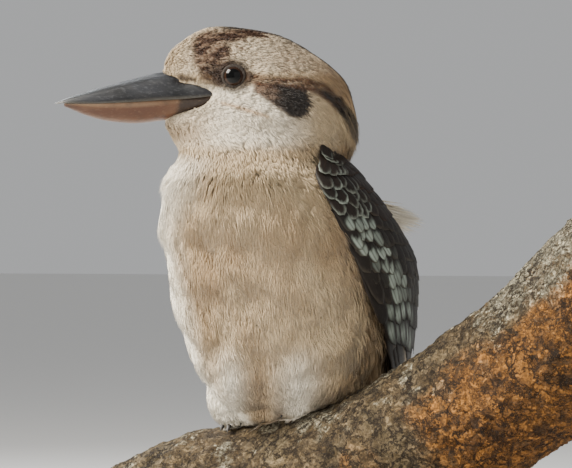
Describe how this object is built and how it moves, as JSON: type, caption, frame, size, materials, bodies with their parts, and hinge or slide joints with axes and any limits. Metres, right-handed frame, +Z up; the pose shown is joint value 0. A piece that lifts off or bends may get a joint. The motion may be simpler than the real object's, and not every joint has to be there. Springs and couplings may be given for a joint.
{
  "type": "laughing kookaburra perched on a branch",
  "caption": "Life-size stout perching bird with a long heavy bill, fluffed up and gripping a short length of rough branch on a plain display stand.",
  "frame": {"origin": "centre of the underside of the stand's base", "axes": "+Z up; +X along the base and the branch, towards the branch's higher end at the bird's left; -Y is the side the breast faces"},
  "size_m": [0.3902, 0.1895, 0.376],
  "materials": {
    "body_feathers": "soft feathers, cream with buff and grey-brown shading",
    "face_feathers": "fine short feathers, cream with brown mask, ear patch and crown streaks",
    "wing_feathers": "dark brown feathers with pale blue-grey spots",
    "tail_feathers": "rufous feathers with dark bars and white tips",
    "bill_upper": "slate black horn, half gloss",
    "bill_lower": "pinkish brown horn, half gloss",
    "eye": "dark brown, wet gloss",
    "foot_skin": "grey scaly skin",
    "claw": "dark horn",
    "bark": "rough weathered bark with pale lichen",
    "base_wood": "dark stained, satin",
    "rod_metal": "satin steel"
  },
  "bodies": {
    "root": {"head": "face_feathers", "neck": "body_feathers", "torso": "body_feathers", "leg_left": "body_feathers", "leg_right": "body_feathers", "tail": "tail_feathers", "wing_left": "wing_feathers", "wing_right": "wing_feathers", "bill_upper": "bill_upper", "bill_lower": "bill_lower", "eye_left": "eye", "eye_right": "eye", "foot_left": "foot_skin", "foot_right": "foot_skin", "claw_left_inner": "claw", "claw_left_middle": "claw", "claw_left_outer": "claw", "claw_left_hind": "claw", "claw_right_inner": "claw", "claw_right_middle": "claw", "claw_right_outer": "claw", "claw_right_hind": "claw", "perch_branch": "bark", "stand_base": "base_wood", "stand_rod_1": "rod_metal", "stand_rod_2": "rod_metal"}
  },
  "joints": []
}
